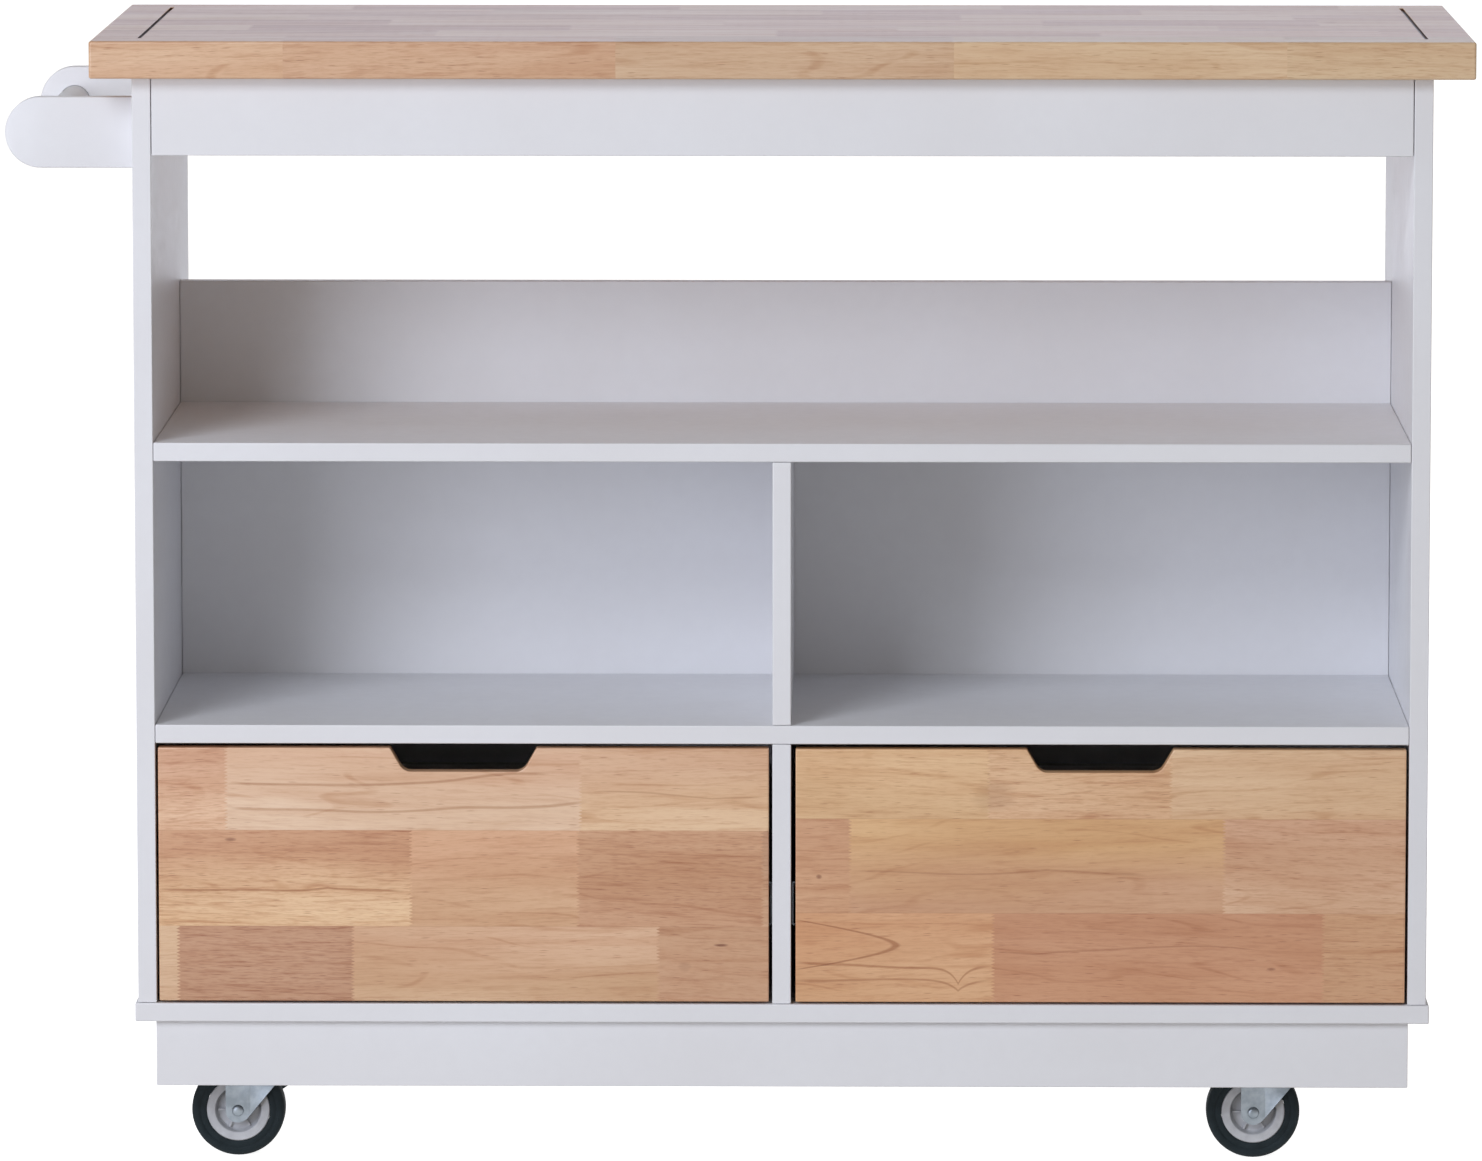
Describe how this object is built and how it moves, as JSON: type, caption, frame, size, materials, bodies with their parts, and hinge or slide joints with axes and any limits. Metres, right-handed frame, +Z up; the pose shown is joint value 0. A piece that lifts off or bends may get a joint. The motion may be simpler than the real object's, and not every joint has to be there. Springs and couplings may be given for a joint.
{
  "type": "kitchen island cart",
  "caption": "Rolling kitchen island with a wooden worktop, open shelves, inset wooden-fronted drawers, an end towel rail and swivel casters.",
  "frame": {"origin": "on the floor, under the middle of the overall box", "axes": "+X to the right of someone standing in front of the drawers, +Y to the rear, +Z up"},
  "size_m": [1.1756, 0.46, 0.914],
  "materials": {
    "rubberwood": "satin lacquered finger-jointed rubberwood",
    "white_paint": "satin white painted board",
    "drawer_board": "matt foil-faced board",
    "zinc_steel": "zinc-plated pressed steel",
    "hub_plastic": "moulded grey plastic",
    "tyre_rubber": "matt black rubber tread"
  },
  "bodies": {
    "carcass": {"worktop": "rubberwood", "side_panel_left": "white_paint", "side_panel_right": "white_paint", "front_apron": "white_paint", "rear_apron": "white_paint", "upper_shelf": "white_paint", "deck_shelf": "white_paint", "back_panel": "white_paint", "shelf_divider": "white_paint", "drawer_divider": "white_paint", "bottom_board": "white_paint", "plinth_front": "white_paint", "plinth_rear": "white_paint", "plinth_left": "white_paint", "plinth_right": "white_paint", "caster_rail_left": "white_paint", "caster_rail_right": "white_paint", "bracket_front": "white_paint", "bracket_rear": "white_paint", "towel_bar": "white_paint", "runner_left_left_cabinet": "zinc_steel", "runner_left_right_cabinet": "zinc_steel", "runner_right_left_cabinet": "zinc_steel", "runner_right_right_cabinet": "zinc_steel", "caster_plate_front_left": "zinc_steel", "caster_plate_front_right": "zinc_steel", "caster_plate_rear_left": "zinc_steel", "caster_plate_rear_right": "zinc_steel"},
    "drawer_left": {"drawer_left_front": "rubberwood", "drawer_left_side_left": "drawer_board", "drawer_left_side_right": "drawer_board", "drawer_left_back": "drawer_board", "drawer_left_bottom": "drawer_board", "runner_left_left_drawer": "zinc_steel", "runner_left_right_drawer": "zinc_steel"},
    "drawer_right": {"drawer_right_front": "rubberwood", "drawer_right_side_left": "drawer_board", "drawer_right_side_right": "drawer_board", "drawer_right_back": "drawer_board", "drawer_right_bottom": "drawer_board", "runner_right_left_drawer": "zinc_steel", "runner_right_right_drawer": "zinc_steel"},
    "caster_front_left": {"caster_fork_front_left": "zinc_steel", "axle_front_left": "zinc_steel"},
    "caster_front_right": {"caster_fork_front_right": "zinc_steel", "axle_front_right": "zinc_steel"},
    "caster_rear_left": {"caster_fork_rear_left": "zinc_steel", "axle_rear_left": "zinc_steel"},
    "caster_rear_right": {"caster_fork_rear_right": "zinc_steel", "axle_rear_right": "zinc_steel"},
    "wheel_front_left": {"hub_front_left": "hub_plastic", "tyre_front_left": "tyre_rubber"},
    "wheel_front_right": {"hub_front_right": "hub_plastic", "tyre_front_right": "tyre_rubber"},
    "wheel_rear_left": {"hub_rear_left": "hub_plastic", "tyre_rear_left": "tyre_rubber"},
    "wheel_rear_right": {"hub_rear_right": "hub_plastic", "tyre_rear_right": "tyre_rubber"}
  },
  "joints": [
    {"name": "drawer_left_slide", "type": "slide", "parent": "carcass", "child": "drawer_left", "axis": [0, -1, 0], "range_m": [0, 0.2]},
    {"name": "drawer_right_slide", "type": "slide", "parent": "carcass", "child": "drawer_right", "axis": [0, -1, 0], "range_m": [0, 0.2]},
    {"name": "caster_front_left_swivel", "type": "hinge", "parent": "carcass", "child": "caster_front_left", "pos_m": [-0.37725, -0.13902, 0.09], "axis": [0, 0, 1], "continuous": true},
    {"name": "caster_front_right_swivel", "type": "hinge", "parent": "carcass", "child": "caster_front_right", "pos_m": [0.44875, -0.13902, 0.09], "axis": [0, 0, 1], "continuous": true},
    {"name": "caster_rear_left_swivel", "type": "hinge", "parent": "carcass", "child": "caster_rear_left", "pos_m": [-0.37725, 0.13902, 0.09], "axis": [0, 0, 1], "continuous": true},
    {"name": "caster_rear_right_swivel", "type": "hinge", "parent": "carcass", "child": "caster_rear_right", "pos_m": [0.44875, 0.13902, 0.09], "axis": [0, 0, 1], "continuous": true},
    {"name": "wheel_front_left_spin", "type": "hinge", "parent": "caster_front_left", "child": "wheel_front_left", "pos_m": [-0.40725, -0.13902, 0.038], "axis": [0, 1, 0], "continuous": true},
    {"name": "wheel_front_right_spin", "type": "hinge", "parent": "caster_front_right", "child": "wheel_front_right", "pos_m": [0.41875, -0.13902, 0.038], "axis": [0, 1, 0], "continuous": true},
    {"name": "wheel_rear_left_spin", "type": "hinge", "parent": "caster_rear_left", "child": "wheel_rear_left", "pos_m": [-0.40725, 0.13902, 0.038], "axis": [0, 1, 0], "continuous": true},
    {"name": "wheel_rear_right_spin", "type": "hinge", "parent": "caster_rear_right", "child": "wheel_rear_right", "pos_m": [0.41875, 0.13902, 0.038], "axis": [0, 1, 0], "continuous": true}
  ]
}
